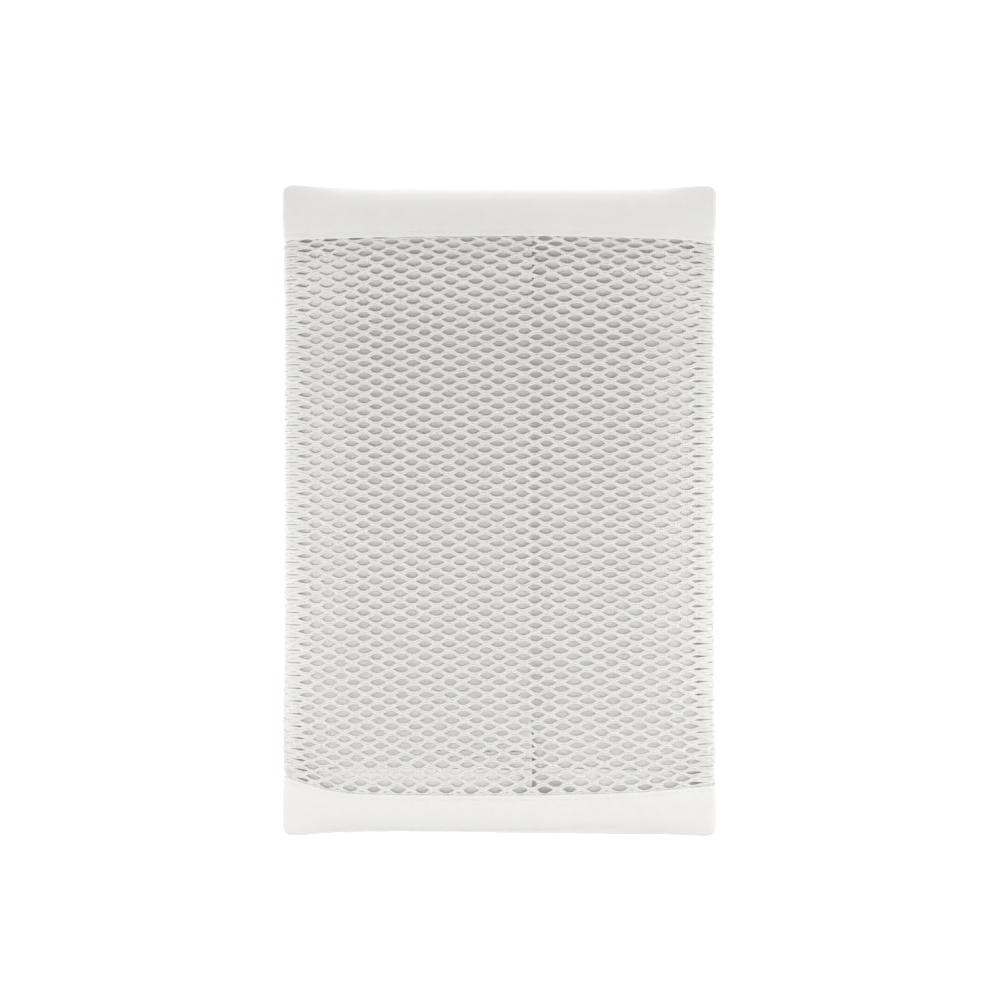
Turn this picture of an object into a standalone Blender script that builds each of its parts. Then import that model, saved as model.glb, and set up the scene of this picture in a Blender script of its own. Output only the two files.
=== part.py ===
"""A mesh crib bumper, folded back and forth into a flat packet that lies on its back.

The bumper is one long panel of open warp-knit mesh with a fold-over binding on each long edge.
X runs along the panel's length, across the packet. Y runs across the panel's height. Z is up,
and the origin is the bottom centre of the packet. All sizes are in metres.

Every piece is made flat first, as a section through the cloth extruded along the panel, and then
folded: each point is moved to its place in the layers and folds.
"""

import math
from collections import namedtuple

import bmesh
import bpy
from mathutils import Vector

# The panel, laid out flat.
PANEL_LENGTH = 2.820
PANEL_HEIGHT = 0.229
BINDING_WIDTH = 0.0195
BINDING_THICKNESS = 0.0018
MESH_THICKNESS = 0.0010
SLOT_DEPTH = 0.0075  # the binding's slot, which holds the mesh's edge
SLOT_HEIGHT = 0.0012
SEAM_DEPTH = 0.0065  # how far the mesh reaches into the slot
SEAM_THICKNESS = 0.0005  # the mesh there, pressed flat by the stitching
EDGE_ROUNDING = 0.0008  # the binding's outer edge, where its tape turns over

# The folded packet.
PACKET_WIDTH = 0.153
FULL_LAYERS = 18
MESH_PITCH = 0.00185  # from one layer's middle to the next, over the mesh
SIDE_PITCH = 0.00170  # the same beside the folds, where the packet is pressed flatter
BINDING_PITCH = 0.00245  # the same on the crest of the bindings
SIDE_FALL = 0.0185  # how far in from the folds the packet starts to fall
SIDE_FALL_FADE = (0.055, 0.088)  # from mid height, where that fall fades out towards the bindings
UPPER_RISE = (0.062, 0.104)  # from mid height, where the packet climbs to its upper binding
LOWER_RISE = (0.032, 0.106)  # the same towards its lower binding, over a longer way
BASE_RISE = (0.080, 0.090)  # where the lowest layer steps up by the binding's extra thickness
FOLD_ROUNDNESS = 1.10  # a fold's depth, over half the height that it turns through
FOLD_THICKENING = 0.015  # how far before the binding a fold grows to the binding's depth
FOLD_UNEVENNESS = 0.0012  # how far inner folds stay back from the packet's side
EDGE_UNEVENNESS = 0.0007  # how far inner edges stay back from the packet's outline
FOLD_PHASE = 2.1  # radians from layer to layer, for the folds' unevenness
EDGE_PHASE = 1.7  # the same for the edges
EDGE_WAVE = 40.0  # radians to the metre, for an edge's own wave

# The top layer's outer edges turn down over the layers below.
LIP_RADIUS = 0.0035
LIP_FADE = (0.0745, 0.0510)  # from the packet's middle, where the lip starts and is full
LIP_INSET = 0.0027  # how far the covered layers stay inside the lip
LIP_INSET_FULL = 0.25  # the share of the lip at which they are fully inside it
COVERED_BY_UPPER_LIP = 15  # the lowest layer that the lip covers
COVERED_BY_LOWER_LIP = 13
ROW_STRETCH = 0.05  # the top layer's mesh is longer near its lower binding, shorter near the upper
TUCK_SLOPE = (0.006, 0.034)  # past the tucked end, where the top layer comes down one layer

# Steps in which the cloth is modelled.
FOLD_STEPS = 3
TOP_STEPS = 15
PLAIN_SHARES = (0.0, 0.12, 0.88, 1.0)
COVERED_SHARES = (0.0, 0.06, 0.16, 0.84, 0.94, 1.0)
MESH_LINES = (-0.086, -0.068, -0.050, -0.032, 0.058, 0.071, 0.084)  # across, from the mid line
UPPER_BINDING_LINES = (0.0080, 0.0130, 0.0160)  # across, from where the mesh ends
LOWER_BINDING_LINES = (0.0075, 0.0105, 0.0135)

HALF_WIDTH = PACKET_WIDTH / 2
HALF_HEIGHT = PANEL_HEIGHT / 2
MESH_HALF = HALF_HEIGHT - BINDING_WIDTH
TOP_LAYER = FULL_LAYERS - 1
TUCK_LAYER = FULL_LAYERS
ACROSS_STEP = 5e-5  # how far apart two points are taken to find the cloth's slope, in metres
STAGE_STEP = 1e-3  # the same along the panel, in stages

# The top layer from above, as distances from mid height: at each x, where the mesh ends and
# where the binding's outline lies, on the upper and on the lower side.
TopRow = namedtuple("TopRow", "x upper_mesh upper_edge lower_mesh lower_edge")
TOP_ROWS = (
    TopRow(-0.0765, 0.0951, 0.1138, 0.0937, 0.1139),
    TopRow(-0.0660, 0.0955, 0.1136, 0.0971, 0.1135),
    TopRow(-0.0560, 0.0958, 0.1134, 0.0993, 0.1124),
    TopRow(-0.0440, 0.0961, 0.1133, 0.1001, 0.1118),
    TopRow(-0.0150, 0.0966, 0.1131, 0.1004, 0.1120),
    TopRow(0.0200, 0.0966, 0.1131, 0.1003, 0.1126),
    TopRow(0.0480, 0.0960, 0.1134, 0.0996, 0.1134),
    TopRow(0.0640, 0.0955, 0.1137, 0.0982, 0.1138),
    TopRow(0.0765, 0.0942, 0.1138, 0.0972, 0.1138),
)

MESH_WHITE = (0.86, 0.86, 0.85, 1.0)
BINDING_WHITE = (0.88, 0.88, 0.88, 1.0)


def blend(first, second, share):
    return first + (second - first) * share


def portion(value, start, end):
    """How far value has come from start to end, kept between 0 and 1."""
    return min(max((value - start) / (end - start), 0.0), 1.0)


def eased(value, start, end):
    """The same with a soft start and a soft end."""
    share = portion(value, start, end)
    return share * share * (3.0 - 2.0 * share)


def wave(angle):
    """A smooth wave between 0 and 1."""
    return 0.5 + 0.5 * math.sin(angle)


def top_line(column, x):
    """A column of TOP_ROWS at x, on a smooth curve through the rows."""
    rows = TOP_ROWS
    last = len(rows) - 1
    index = sum(row.x < x for row in rows[1:last])

    def slope(i):
        before = rows[max(i - 1, 0)]
        after = rows[min(i + 1, last)]
        return (getattr(after, column) - getattr(before, column)) / (after.x - before.x)

    left = rows[index]
    right = rows[index + 1]
    span = right.x - left.x
    share = portion(x, left.x, right.x)
    curve = blend(getattr(left, column), getattr(right, column), share * share * (3 - 2 * share))
    curve += share * (1 - share) ** 2 * slope(index) * span
    return curve - share * share * (1 - share) * slope(index + 1) * span


def mesh_end(side, x):
    """Where the top layer's mesh ends, from mid height. side is 1 above and -1 below."""
    return top_line("upper_mesh" if side > 0 else "lower_mesh", x)


def outline(side, x):
    """Where the packet's outline lies, from mid height."""
    return top_line("upper_edge" if side > 0 else "lower_edge", x)


# Heights.


def layer_pitch(x, y):
    rise = eased(y, *UPPER_RISE) if y > 0 else eased(-y, *LOWER_RISE)
    fall = portion(abs(x), HALF_WIDTH - SIDE_FALL, HALF_WIDTH) ** 2
    fall *= 1.0 - eased(abs(y), *SIDE_FALL_FADE)
    return MESH_PITCH + (BINDING_PITCH - MESH_PITCH) * rise - (MESH_PITCH - SIDE_PITCH) * fall


def layer_height(level, x, y):
    """The height of the cloth's middle at a level, counted from the lowest layer."""
    base = blend(MESH_THICKNESS, BINDING_THICKNESS, eased(abs(y), *BASE_RISE)) / 2
    return base + level * layer_pitch(x, y)


def level_of(layer, x):
    """The tucked end lies under the top layer, which passes over it and then comes down."""
    if layer < TOP_LAYER:
        return layer
    if layer == TUCK_LAYER:
        return TOP_LAYER
    return TUCK_LAYER - eased(x - TUCK_END, *TUCK_SLOPE)


# Places across the packet.


def lip_share(x):
    return eased(abs(x), *LIP_FADE)


def lip(width, reach, share):
    """How far out and how far down a point of the binding lies, width from the mesh.

    At share 1 the binding runs level, turns down round LIP_RADIUS and hangs. At share 0 it
    stays level, drawn in to the same reach.
    """
    level_run = reach - LIP_RADIUS
    turn = portion(width, level_run, level_run + LIP_RADIUS * math.pi / 2) * math.pi / 2
    hang = max(width - level_run - LIP_RADIUS * math.pi / 2, 0.0)
    out = min(width, level_run) + LIP_RADIUS * math.sin(turn)
    down = LIP_RADIUS * (1.0 - math.cos(turn)) + hang
    return blend(width * reach / BINDING_WIDTH, out, share), down * share


def inner_edge(layer, side, x):
    """The edge of a layer under the top one, from mid height."""
    uneven = EDGE_UNEVENNESS * wave(EDGE_PHASE * layer + EDGE_WAVE * x + side)
    edge = outline(side, x) - uneven
    if layer < (COVERED_BY_UPPER_LIP if side > 0 else COVERED_BY_LOWER_LIP):
        return edge
    return edge - (LIP_INSET + BINDING_THICKNESS / 2) * eased(lip_share(x), 0.0, LIP_INSET_FULL)


def place_across(layer, x, across):
    """The y of a point that lies `across` from the panel's mid line, and how far it hangs down."""
    side = math.copysign(1.0, across)
    if layer != TOP_LAYER:
        return across * inner_edge(layer, side, x) / HALF_HEIGHT, 0.0
    if abs(across) > MESH_HALF:
        end = mesh_end(side, x)
        share = lip_share(x)
        reach = outline(side, x) - BINDING_THICKNESS / 2 * share - end
        out, down = lip(abs(across) - MESH_HALF, reach, share)
        return side * (end + out), down
    share = portion(across, -MESH_HALF, MESH_HALF)
    share += ROW_STRETCH * share * (1.0 - share)
    return blend(-mesh_end(-1, x), mesh_end(1, x), share), 0.0


# Places along the folded panel. Layers are counted from the lowest one, 0. Even layers run to
# the right and end in a fold at the right side, and odd layers run back to the left.


def fold_x(layer, across=0.0):
    """Where the layer's straight run ends and its fold begins."""
    in_binding = eased(abs(across), MESH_HALF - FOLD_THICKENING, MESH_HALF)
    half_thickness = blend(MESH_THICKNESS, BINDING_THICKNESS, in_binding) / 2
    depth = FOLD_ROUNDNESS * layer_pitch(HALF_WIDTH, across) / 2
    x = HALF_WIDTH - half_thickness - depth
    if layer == TUCK_LAYER:
        return TUCK_END
    if layer < TOP_LAYER - 1:
        x -= FOLD_UNEVENNESS * wave(FOLD_PHASE * layer)
    return x if layer % 2 == 0 else -x


def tucked_length():
    """What the full layers and their folds leave of the panel's length, along its mid line."""
    runs = sum(abs(fold_x(layer) - fold_x(layer - 1)) for layer in range(FULL_LAYERS))
    turn_radius = layer_pitch(HALF_WIDTH, 0.0) / 2 * (1.0 + FOLD_ROUNDNESS) / 2
    return PANEL_LENGTH - runs - FULL_LAYERS * math.pi * turn_radius


TUCK_END = fold_x(TOP_LAYER) + tucked_length()
LAST_STAGE = 2.0 * TUCK_LAYER + 1.0


def middle(stage, across):
    """A point in the middle of the cloth's thickness.

    A stage counts along the panel, 2 for each layer: 2 * layer + 0 to 1 is the layer's straight
    run, and 2 * layer + 1 to 2 is the fold after it.
    """
    layer = int(min(stage // 2, TUCK_LAYER))
    share = stage - 2 * layer
    if share <= 1.0:
        x = blend(fold_x(layer - 1, across), fold_x(layer, across), share)
        y, down = place_across(layer, x, across)
        return Vector((x, y, layer_height(level_of(layer, x), x, y) - down))
    start = fold_x(layer, across)
    turn = math.pi * (share - 1.0)
    turned = (1.0 - math.cos(turn)) / 2
    ends = [place_across(each, start, across)[0] for each in (layer, layer + 1)]
    y = blend(*ends, turned)
    levels = level_of(layer, start), level_of(layer + 1, start)
    depth = FOLD_ROUNDNESS * abs(levels[1] - levels[0]) * layer_pitch(start, y) / 2
    x = start + math.copysign(depth * math.sin(turn), start)
    return Vector((x, y, layer_height(blend(*levels, turned), x, y)))


def folded(flat):
    """A point of the flat cloth (stage, across, off its middle) in its place in the packet."""
    stage, across, off = flat
    before = max(stage - STAGE_STEP, 0.0)
    after = min(stage + STAGE_STEP, LAST_STAGE)
    along = middle(after, across) - middle(before, across)
    over = middle(stage, across + ACROSS_STEP) - middle(stage, across - ACROSS_STEP)
    return middle(stage, across) + along.cross(over).normalized() * off


# The pieces.


def stages():
    """The places along the panel where its solids have points."""
    marks = []
    for layer in range(TUCK_LAYER + 1):
        if layer == TOP_LAYER:
            shares = [(1.0 - math.cos(math.pi * i / TOP_STEPS)) / 2 for i in range(TOP_STEPS + 1)]
        else:
            shares = COVERED_SHARES if layer >= COVERED_BY_LOWER_LIP else PLAIN_SHARES
        marks += [2 * layer + share for share in shares]
        if layer < TUCK_LAYER:
            marks += [2 * layer + 1 + step / FOLD_STEPS for step in range(1, FOLD_STEPS)]
    return marks


def mesh_section():
    """The mesh's section, thin at both edges where the bindings' slots hold it."""
    seam = [(MESH_HALF, SEAM_THICKNESS / 2), (MESH_HALF + SEAM_DEPTH, SEAM_THICKNESS / 2)]
    front = [(-across, off) for across, off in reversed(seam)]
    front += [(line, MESH_THICKNESS / 2) for line in MESH_LINES]
    front += seam
    return front + [(across, -off) for across, off in reversed(front)]


def binding_section(side, lines):
    """The binding's section: a folded tape, open along its inner edge, where it holds the mesh."""
    half = BINDING_THICKNESS / 2
    front = [(line, half) for line in (0.0, *lines, BINDING_WIDTH - EDGE_ROUNDING)]
    front.append((BINDING_WIDTH, half / 2))
    slot = [(0.0, -SLOT_HEIGHT / 2), (SLOT_DEPTH, -SLOT_HEIGHT / 2)]
    section = front + [(width, -off) for width, off in reversed(front)]
    section += slot + [(width, -off) for width, off in reversed(slot)]
    return [(side * (MESH_HALF + width), off) for width, off in section]


def flat_strip(section, marks):
    """A closed strip: the section as a face, extruded from mark to mark along the panel."""
    strip = bmesh.new()
    face = strip.faces.new([strip.verts.new((marks[0], *corner)) for corner in section])
    for mark, following in zip(marks, marks[1:]):
        made = bmesh.ops.extrude_face_region(strip, geom=[face])["geom"]
        if mark > marks[0]:
            bmesh.ops.delete(strip, geom=[face], context="FACES_ONLY")
        face = next(item for item in made if isinstance(item, bmesh.types.BMFace))
        for vert in face.verts:
            vert.co.x = following
    ends = [face for face in strip.faces if len(face.verts) > 4]
    bmesh.ops.triangulate(strip, faces=ends)
    bmesh.ops.recalc_face_normals(strip, faces=strip.faces)
    return strip


def material(name, colour, roughness):
    made = bpy.data.materials.new(name)
    made.use_nodes = True
    shader = made.node_tree.nodes["Principled BSDF"]
    shader.inputs["Base Color"].default_value = colour
    shader.inputs["Roughness"].default_value = roughness
    shader.inputs["Metallic"].default_value = 0.0
    return made


def cloth_piece(name, section, marks, finish, collection):
    """One piece of cloth as a solid: made flat, then folded."""
    strip = flat_strip(section, marks)
    for vert in strip.verts:
        vert.co = folded(vert.co)
    mesh = bpy.data.meshes.new(name)
    strip.to_mesh(mesh)
    strip.free()
    mesh.materials.append(finish)
    mesh.shade_smooth()
    mesh.set_sharp_from_angle(angle=math.radians(40))
    piece = bpy.data.objects.new(name, mesh)
    collection.objects.link(piece)
    return piece


def main():
    for old in list(bpy.data.objects):
        bpy.data.objects.remove(old, do_unlink=True)
    parts = bpy.data.collections.new("crib_bumper")
    bpy.context.scene.collection.children.link(parts)

    mesh_finish = material("mesh_knit", MESH_WHITE, 0.85)
    binding_finish = material("binding_tape", BINDING_WHITE, 0.90)
    marks = stages()
    cloth_piece("mesh_panel", mesh_section(), marks, mesh_finish, parts)
    upper = binding_section(1, UPPER_BINDING_LINES)
    cloth_piece("upper_binding", upper, marks, binding_finish, parts)
    lower = binding_section(-1, LOWER_BINDING_LINES)
    cloth_piece("lower_binding", lower, marks, binding_finish, parts)


main()
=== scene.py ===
"""The looks of a mesh crib bumper, folded back and forth into a flat packet that lies on its back.

The bumper is one long strip of open warp-knit mesh with a fold-over binding on each long edge.
X runs along the strip, across the packet. Y runs across the strip's height. Z is up, and the origin
is the bottom centre of the packet. All sizes are in metres.

Each piece is made flat first, with the length along the strip as x, the place across it as y and
the height off the cloth's middle as z. It is then folded: each point moves to its place in the
layers and folds. These are the solids' own, but the top layer's edges lie a little further out and
turn down with other radii, and it comes down over the tucked end more steeply.
"""

import math
from collections import namedtuple

import bmesh
import bpy
import numpy as np
from mathutils import Matrix, Vector


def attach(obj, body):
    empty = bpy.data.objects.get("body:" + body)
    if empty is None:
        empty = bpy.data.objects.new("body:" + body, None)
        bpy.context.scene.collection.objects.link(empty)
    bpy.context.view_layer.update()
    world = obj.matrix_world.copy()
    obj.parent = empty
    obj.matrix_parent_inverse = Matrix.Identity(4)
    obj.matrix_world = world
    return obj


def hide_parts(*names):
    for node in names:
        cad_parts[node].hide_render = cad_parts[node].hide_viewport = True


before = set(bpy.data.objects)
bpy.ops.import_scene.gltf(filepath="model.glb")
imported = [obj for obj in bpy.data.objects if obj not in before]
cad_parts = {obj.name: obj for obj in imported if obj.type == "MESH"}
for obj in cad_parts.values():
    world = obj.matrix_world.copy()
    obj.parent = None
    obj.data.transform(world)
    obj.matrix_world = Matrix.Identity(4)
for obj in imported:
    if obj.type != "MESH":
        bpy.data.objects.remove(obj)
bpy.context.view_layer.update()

# The strip, laid out flat.
PANEL_LENGTH = 2.820
PANEL_HEIGHT = 0.229
BINDING_WIDTH = 0.0195
BINDING_THICKNESS = 0.0018
MESH_THICKNESS = 0.0010
HALF_HEIGHT = PANEL_HEIGHT / 2
MESH_HALF = HALF_HEIGHT - BINDING_WIDTH

# The folded packet, as in the solids. Layers are counted from the lowest one, 0. Even layers run to
# the right and end in a fold at the right side, and odd layers run back to the left. Where
# something comes in by degrees, its two numbers are the places where it starts and is full.
PACKET_WIDTH = 0.153
HALF_WIDTH = PACKET_WIDTH / 2
FULL_LAYERS = 18
TOP_LAYER = FULL_LAYERS - 1
TUCK_LAYER = FULL_LAYERS
MESH_PITCH = 0.00185  # from one layer's middle to the next, over the mesh
SIDE_PITCH = 0.00170  # the same beside the folds, where the packet is pressed flatter
BINDING_PITCH = 0.00245  # the same on the crest of the bindings
SIDE_FALL = 0.0185  # how far in from the folds the packet starts to fall
SIDE_FALL_FADE = (0.055, 0.088)  # from mid height, where that fall fades out towards the bindings
UPPER_RISE = (0.062, 0.104)  # from mid height, where the packet climbs to its upper binding
LOWER_RISE = (0.032, 0.106)  # the same towards its lower binding, over a longer way
BASE_RISE = (0.080, 0.090)  # where the lowest layer steps up by the binding's extra thickness
FOLD_ROUNDNESS = 1.10  # a fold's depth, over half the height that it turns through
FOLD_THICKENING = 0.015  # how far before the binding a fold grows to the binding's depth
FOLD_UNEVENNESS = 0.0012  # how far inner folds stay back from the packet's side
EDGE_UNEVENNESS = 0.0007  # how far inner edges stay back from the packet's outline
FOLD_PHASE = 2.1  # radians from layer to layer, for the folds' unevenness
EDGE_PHASE = 1.7  # the same for the edges
EDGE_WAVE = 40.0  # radians to the metre, for an edge's own wave
LIP_FADE = (0.0745, 0.0510)  # from the packet's middle, where its edges' turned down lip comes in
LIP_INSET = 0.0027  # how far the covered layers stay inside the lip
LIP_INSET_FULL = 0.25  # the share of the lip at which they are fully inside it
COVERED_BY_UPPER_LIP = 15  # the lowest layer that the lip covers
COVERED_BY_LOWER_LIP = 13
ACROSS_STEP = 5e-5  # how far apart two points are taken to find the cloth's slope
STAGE_STEP = 1e-3  # the same along the strip, in stages

# Where the looks differ from the solids. The outline in TOP_ROWS does too.
LIP_RADIUS = {1: 0.0060, -1: 0.0022}  # of the turned down edges, the upper and the lower one
CORNER_RADIUS = 0.0036  # of the rounded corners of the uppermost layers
CORNER_LAYERS = 4  # the rounding comes in over so many layers
TUCK_SLOPE = (0.001, 0.018)  # past the tucked end, where the top layer comes down one layer
NET_TUCK_SLOPE = (-0.0010, 0.0018)  # the same for its net, which comes down more steeply
END_SINK = 0.0009  # how far the tucked end's net, and the one on it, sinks onto the layer below
END_SINK_RUN = 0.012  # how far back from the tucked end that starts
SINK_FADE = (0.074, 0.084)  # from mid height, where it fades out, short of the bindings

# The top layer from above, as distances from mid height: at each x, where the mesh ends and
# where the binding's outline lies, on the upper and on the lower side. The mesh ends as in the
# solids, and the outline lies 0.8 to 1.7 mm further out than theirs.
TopRow = namedtuple("TopRow", "x upper_mesh upper_edge lower_mesh lower_edge")
TOP_ROWS = (
    TopRow(-0.0765, 0.0951, 0.1146, 0.0937, 0.1149),
    TopRow(-0.0660, 0.0955, 0.1146, 0.0971, 0.1145),
    TopRow(-0.0560, 0.0958, 0.1145, 0.0993, 0.1139),
    TopRow(-0.0440, 0.0961, 0.1143, 0.1001, 0.1135),
    TopRow(-0.0150, 0.0966, 0.1142, 0.1004, 0.1136),
    TopRow(0.0200, 0.0966, 0.1143, 0.1003, 0.1142),
    TopRow(0.0480, 0.0960, 0.1144, 0.0996, 0.1146),
    TopRow(0.0640, 0.0955, 0.1146, 0.0982, 0.1150),
    TopRow(0.0765, 0.0942, 0.1146, 0.0972, 0.1152),
)

# The net: knitted ropes along the strip, with rows of long holes between them, brick fashion. A
# rope fills what the holes above and below it leave. On the top layer each rope is two yarns, and
# the two yarns beside a row of holes cross each other after every hole.
ROPE_SPACING = 0.00213
ROPE_COUNT = 96
FIRST_ROPE = -0.10083  # the lowest rope's place across the strip
ROPE_OVERLAP = 0.00036  # how far ropes that run side by side reach into each other
ROPE_THICKNESS = 0.00150  # on the packet's back
RIBBON_THICKNESS = 0.00080  # of the covered layers' ropes, which are pressed flat
ROPE_STAGGER = 0.00006  # ropes lie this far above and below the cloth's middle in turn
ROPE_THINNING = 0.10  # by what share a rope is flatter where it is widest
YARN_THICKNESS = 0.00080
YARN_OVERLAP = 1.15  # a yarn's width, over the width that it fills
YARNS_APART = 0.25  # in hole pitches, how far from a hole's middle they turn to cross
CROSSING_LIFT = 0.00018  # where they cross, one yarn rises and the other sinks by this much
HOLE_PITCH = 0.00915  # from hole to hole along a row
HOLE_LENGTH = 0.0046
HOLE_HEIGHT = 0.00212
COVERED_HOLE_HEIGHT = 0.0004  # inside the packet, where hardly a slit is left of a hole
OPEN_AT_FOLDS = 0.0030  # the covered layers' holes close over this length in from a fold
HOLE_ROUNDNESS = 0.55  # an exponent: a smaller one makes the holes blunter
HOLE_UNEVENNESS = 0.10  # by what share their heights differ
HOLE_ROW_PHASE = 7.1  # radians from row to row, for that unevenness
HOLE_COLUMN_PHASE = 2.3  # and from hole to hole
SEAM_PRESSING = (0.0943, 0.0953)  # from the mid line, where the stitching presses the net flat
SEAM_THINNING = 0.58  # by what share of its thickness
SEAM_CLOSING = (0.0940, 0.0950)  # from the mid line, where it draws the holes nearly shut
SEAM_CLOSING_SHARE = 0.80  # by what share of their height

# The rows of the covered layers drift from level in one wave along the strip, and crowd together
# and part again in a second one across it.
ROW_WANDER = 0.0010  # the first one's height
WANDER_PHASE = 2.4  # radians from layer to layer
WANDER_WAVE = 21.0  # radians to the metre
CROWDING_SHARE = 0.5  # the second one's height, over the first one's
CROWDING_PHASE = 3.7
CROWDING_WAVE = 48.0
ROW_WANDER_FADE = (0.086, 0.094)  # from the mid line, where both fade out towards the bindings

# How the net lies on the top layer.
FACE_PITCH = {1: 0.00192, -1: 0.00104}  # above the next layer, at its upper and its lower edge
BESIDE_PITCH = 0.00106  # the most that this is near the packet's sides
BESIDE_FADE = (0.045, 0.062)  # from the packet's middle, where that comes in
DROP_FADE = (0.0870, 0.0950)  # from the mid line, where it comes back to the solids' height
DROP_FADE_ALONG = (0.0695, 0.0745)  # the same from the packet's middle, towards its sides
MESH_REFERENCE = {1: 0.0966, -1: 0.1003}  # where the net ends at mid width, above and below
TOP_SQUEEZE = 0.00135  # how much closer together the last rows below the upper binding lie
TOP_SQUEEZE_START = 0.08235
EDGE_GIVE = 0.068  # from here to the binding the rows give way to its bowed edge
ROW_SAG = 0.0020  # how far the upper rows sag towards the left
ROW_SAG_RUN = (0.020, -0.068)  # the x from which to which that grows
ROW_SAG_FADE = (0.020, 0.090)  # from the mid line, where that comes in
ROW_SAG_SOFTNESS = 1.5  # an exponent: a larger one lets the sag start more softly
COLUMN_ORIGIN = 0.02138  # the x of a hole in the first row below the upper binding
UPPER_HOLE_PITCH = 0.00924
LOWER_HOLE_PITCH = 0.00888
HOLE_PITCH_RISE = 0.75  # the share of the height from which the pitch grows towards the upper edge
PITCH_DRIFT = 0.0029  # the holes lie closer together towards the left
COLUMN_BOW = 0.0046  # the columns of holes lie this much further left at mid height
FOLD_CLOSING = (0.0665, 0.0730)  # from the packet's middle, where the holes close at its sides
FOLD_CLOSING_SHARE = 0.98  # by what share of their height
TURNED_UNDER = (0.0, 0.002)  # past the layer's straight run, where holes become as the covered ones

# Steps in which the net is modelled: rings of points for each hole pitch or in a fold, and the
# sides of a cord.
FACE_RINGS = 8
FACE_SIDES = 6
BACK_RINGS = 6
UNDER_RINGS = 4
UNDER_SIDES = 4
FOLD_RINGS = 6
HIDDEN_MARGIN = 0.010  # further in from its folds than this, an unseen layer needs few rings
HIDDEN_SKIP = 8  # one ring in so many is left there
CORDS_APART = 2.0  # how far apart cords of width 1 are set before they get their places

# The binding's section: places across it from where the mesh ends, and half its thickness there.
SectionRow = namedtuple("SectionRow", "width half")
TAPE_ROWS = (
    SectionRow(0.00000, 0.00046),
    SectionRow(0.00020, 0.00066),
    SectionRow(0.00055, 0.00076),
    SectionRow(0.00095, 0.00077),
    SectionRow(0.00135, 0.00074),
    SectionRow(0.00170, 0.00070),
    SectionRow(0.00205, 0.00075),
    SectionRow(0.00255, 0.00083),
    SectionRow(0.00340, 0.00092),
    SectionRow(0.00480, 0.00101),
    SectionRow(0.00700, 0.00103),
    SectionRow(0.00950, 0.00102),
    SectionRow(0.01200, 0.00101),
    SectionRow(0.01450, 0.00099),
    SectionRow(0.01650, 0.00096),
    SectionRow(0.01780, 0.00091),
    SectionRow(0.01870, 0.00080),
    SectionRow(0.01925, 0.00056),
    SectionRow(0.01950, 0.00020),
)
# The slot between its two sides, from its bottom to its mouth.
SLOT_ROWS = (
    SectionRow(0.01820, 0.00012),
    SectionRow(0.01740, 0.00020),
    SectionRow(0.00800, 0.00020),
    SectionRow(0.00660, 0.00034),
    SectionRow(0.00200, 0.00034),
    SectionRow(0.00030, 0.00038),
)
OUTER_FACE = 0.0004  # points further off the cloth's middle than this are on the tape's outside
TAPE_UNDER_STEP = 0.016  # the most that a step is along the layers under the top one

# The stitches.
SEAM_PLACE = 0.0017  # the stitch row, from the binding's inner edge
STITCH_PITCH = 0.0028
STITCH_GAP = 0.0006
STITCH_LENGTH = STITCH_PITCH - STITCH_GAP
STITCH_SHARES = (0.0, 0.12, 0.3, 0.5, 0.7, 0.88, 1.0)  # where along it a stitch has its rings
STITCH_SIDES = 5
THREAD_THICKNESS = 0.00034
STITCH_BOW = 0.55  # how far its middle stands above its ends, in thread thicknesses
STITCH_SINK = 0.45  # how deep its ends lie in the tape, in thread thicknesses
STITCH_SHOWN = 0.004  # on the covered layers, stitches show this far from the folds
COUNTING_SLACK = 1e-4  # in pitches, so that a stitch's first point counts as its own
FACES_APART = 1.0  # how far apart the rows of both faces are set before they get their places
TAPE_STEP = STITCH_PITCH / 3  # along the top layer

# The tape's faces: drawn in beside the stitches, and uneven from its loft. Each row of the loft is
# two waves that are multiplied, in radians to the metre.
PUCKER_DEPTH = 0.00006
PUCKER_PLACE = 0.0012  # from the stitch row
PUCKER_REACH = 0.0016
LOFT_DEPTH = 0.00006
LoftWave = namedtuple("LoftWave", "along across phase")
LoftRow = namedtuple("LoftRow", "share first second")
LOFT_ROWS = (
    LoftRow(1.0, LoftWave(760.0, 390.0, 0.0), LoftWave(310.0, -520.0, 1.3)),
    LoftRow(0.6, LoftWave(430.0, 0.0, 0.7), LoftWave(180.0, 700.0, 0.0)),
)

# Patterns in the materials. Real filaments and nap are ten times finer and would not show, so both
# are drawn coarser.
LOOP_LENGTH = 0.0009  # a knitted loop, along its rope
LOOP_SLANT = 1.1  # how far a loop runs along the rope, over how far it runs across
FIBRE_SPACING = 0.00022
FIBRE_RELIEF = 2.5  # the fibres' height, over the loops'
NAP_GRAIN = 0.00030
CLOUD_SIZE = 0.0040  # the nap's brighter and duller patches
CLOUD_RELIEF = 3.0  # their height, over the nap's
MIX_FIRST, MIX_SECOND, MIX_RESULT = 6, 7, 2  # a Mix node's colour sockets, which share their names

# The picture.
PIXEL = 0.0003534  # a pixel of the photograph on the packet's face
PICTURE_SIDE = 1000
PACKET_MIDDLE_PIXEL = (499.5, 510.0)
FACE_HEIGHT = 0.040  # the height at which a pixel has that size
CAMERA_DISTANCE = 1.5  # from there
SENSOR_WIDTH = 36.0  # millimetres
TABLE_HALF_SIDE = 8.0
HORIZON_LIGHT = 0.30  # the room's own light, level with the packet
ZENITH_LIGHT = 0.41  # and from straight above
Lamp = namedtuple("Lamp", "name place size power")
LAMPS = (
    Lamp("key", (0.0, -0.20, 0.34), 0.5, 0.76),
    Lamp("back", (0.0, 0.36, 0.10), 0.2, 0.42),
    Lamp("left", (-0.22, 0.0, 0.10), 0.2, 0.16),
    Lamp("right", (0.22, 0.0, 0.10), 0.2, 0.18),
)


def blend(first, second, share):
    """Between two values, by a share of the way from the first to the second."""
    return first + (second - first) * share


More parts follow.
